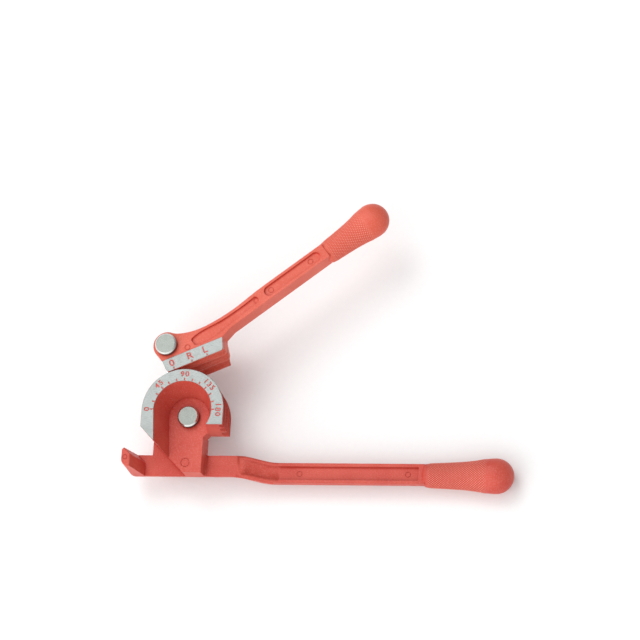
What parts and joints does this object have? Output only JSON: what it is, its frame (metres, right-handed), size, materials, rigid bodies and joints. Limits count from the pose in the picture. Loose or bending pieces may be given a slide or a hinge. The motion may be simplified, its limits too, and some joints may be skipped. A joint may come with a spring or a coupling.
{
  "type": "manual tube bender",
  "caption": "Lever tube bender: grooved round die on a long handle with a hook, and a second handle with a grooved shoe on a swinging link.",
  "frame": {"origin": "bend axis (axis of the centre pin) at the back of the die", "axes": "+Z leaves the dial; +X runs along the lower handle towards its grip; +Y goes from the base bar towards the top of the die"},
  "size_m": [0.271, 0.199, 0.0555],
  "materials": {
    "red_casting": "satin powder coat, bare machined dial and shoe strip",
    "pin_steel": "turned",
    "zinc_plate": "zinc plated",
    "dark_washer": "matte",
    "dark_ring": "phosphated"
  },
  "bodies": {
    "base": {"lower_handle": "red_casting", "centre_pin": "pin_steel", "centre_head_washer": "dark_washer", "centre_thrust_washer": "zinc_plate", "centre_back_washer": "zinc_plate", "centre_retaining_ring": "dark_ring"},
    "link": {"link_plate": "zinc_plate", "handle_pin": "pin_steel", "handle_head_washer": "dark_washer", "handle_thrust_washer": "zinc_plate", "handle_back_washer": "zinc_plate", "handle_retaining_ring": "dark_ring"},
    "handle": {"upper_handle": "red_casting"}
  },
  "joints": [
    {"name": "link_swing", "type": "hinge", "parent": "base", "child": "link", "pos_m": [0, 0, 0], "axis": [0, 0, 1], "range_deg": [-107.6, 72.4]},
    {"name": "handle_pivot", "type": "hinge", "parent": "link", "child": "handle", "pos_m": [-0.01463, 0.04613, 0], "axis": [0, 0, 1], "range_deg": [-7.5, 100]}
  ]
}
